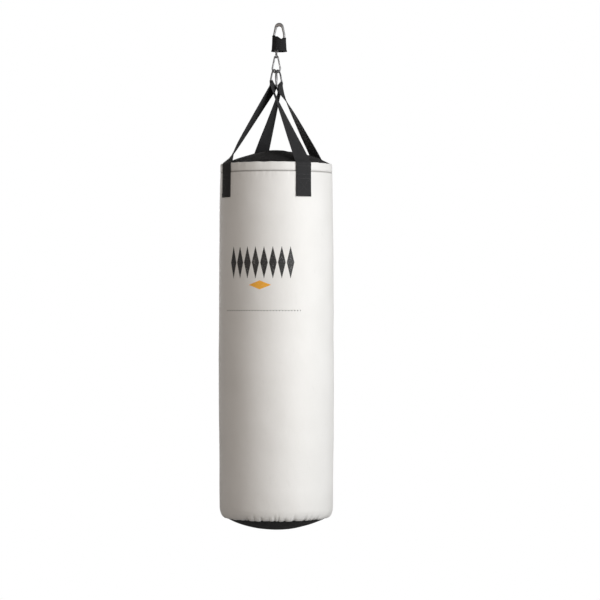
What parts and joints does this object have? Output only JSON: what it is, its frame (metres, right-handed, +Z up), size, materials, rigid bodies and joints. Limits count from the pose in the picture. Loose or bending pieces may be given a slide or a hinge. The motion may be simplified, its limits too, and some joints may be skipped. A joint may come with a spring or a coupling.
{
  "type": "hanging heavy bag",
  "caption": "Hanging cylindrical heavy bag in pale coated cloth with black domed ends, webbing straps on D-rings, a snap hook, a bearing swivel and a forged bow in a cloth sleeve.",
  "frame": {"origin": "hanging point: the inside top of the bow's crown, where a hook or eye bolt carries the bag", "axes": "+Z up, -Y towards the front of the bag, +X to the right seen from the front"},
  "size_m": [0.339, 0.3402, 1.492],
  "materials": {
    "forged_steel": "satin zinc plate",
    "bright_steel": "polished",
    "plated_wire": "nickel plate",
    "sleeve_cloth": "heavy woven cloth",
    "webbing": "woven polypropylene webbing",
    "coated_cloth": "matt coated cloth",
    "cap_cloth": "plain woven cloth",
    "zip_cloth": "woven tape and moulded coil",
    "zip_metal": "plated",
    "foam": "closed-cell foam",
    "fibre": "packed textile fibre",
    "sand_bag": "sand in cloth tubes"
  },
  "bodies": {
    "bow": {"shackle_bow": "forged_steel", "cross_pin": "bright_steel", "pin_nut": "bright_steel", "sleeve": "sleeve_cloth", "sleeve_hook_strip": "sleeve_cloth", "sleeve_loop_strip": "sleeve_cloth"},
    "swivel": {"swivel_housing": "forged_steel", "thrust_washer": "bright_steel", "bearing_balls": "bright_steel"},
    "rotor": {"swivel_rotor": "plated_wire"},
    "carabiner": {"carabiner_body": "plated_wire", "gate_pin": "bright_steel"},
    "gate": {"carabiner_gate": "plated_wire", "gate_spring": "bright_steel"},
    "bag": {"d_ring_front": "plated_wire", "d_ring_rear": "plated_wire", "strap_front": "webbing", "strap_rear": "webbing", "side_shell": "coated_cloth", "rim_hem": "coated_cloth", "back_seam": "coated_cloth", "top_cap": "cap_cloth", "bottom_cap": "cap_cloth", "zip_tape": "zip_cloth", "zip_chain": "zip_cloth", "zip_stops": "zip_metal", "foam_liner": "foam", "fibre_fill": "fibre", "ballast_upper": "sand_bag", "ballast_middle": "sand_bag", "ballast_lower": "sand_bag", "top_pad": "foam", "bottom_pad": "foam"},
    "zip_runner": {"zip_slider": "zip_metal"},
    "zip_tab": {"zip_pull": "zip_metal"}
  },
  "joints": [
    {"name": "swivel_swing", "type": "hinge", "parent": "bow", "child": "swivel", "pos_m": [-0.0088, 0, -0.049], "axis": [1, 0, 0], "range_deg": [-25, 25]},
    {"name": "swivel_spin", "type": "hinge", "parent": "swivel", "child": "rotor", "pos_m": [-0.0088, 0, -0.069], "axis": [0, 0, 1], "continuous": true},
    {"name": "carabiner_sway", "type": "hinge", "parent": "rotor", "child": "carabiner", "pos_m": [-0.0088, 0, -0.0927], "axis": [0, 1, 0], "range_deg": [-25, 25]},
    {"name": "bag_swing", "type": "hinge", "parent": "carabiner", "child": "bag", "pos_m": [-0.0088, 0, -0.136], "axis": [1, 0, 0], "range_deg": [-30, 30]},
    {"name": "gate_open", "type": "hinge", "parent": "carabiner", "child": "gate", "pos_m": [-0.00176, 0, -0.09938], "axis": [0, 1, 0], "range_deg": [0, 20], "stiffness_Nm_per_rad": 0.05, "springref_deg": -28.65},
    {"name": "zip_run", "type": "hinge", "parent": "bag", "child": "zip_runner", "pos_m": [-0.0088, 0.045, -0.70301], "axis": [0, 1, 0], "range_deg": [0, 32]},
    {"name": "zip_tab_lift", "type": "hinge", "parent": "zip_runner", "child": "zip_tab", "pos_m": [-0.09953, 0.04588, -0.37583], "axis": [0.0358, 0.991, -0.1291], "range_deg": [0, 165]}
  ]
}
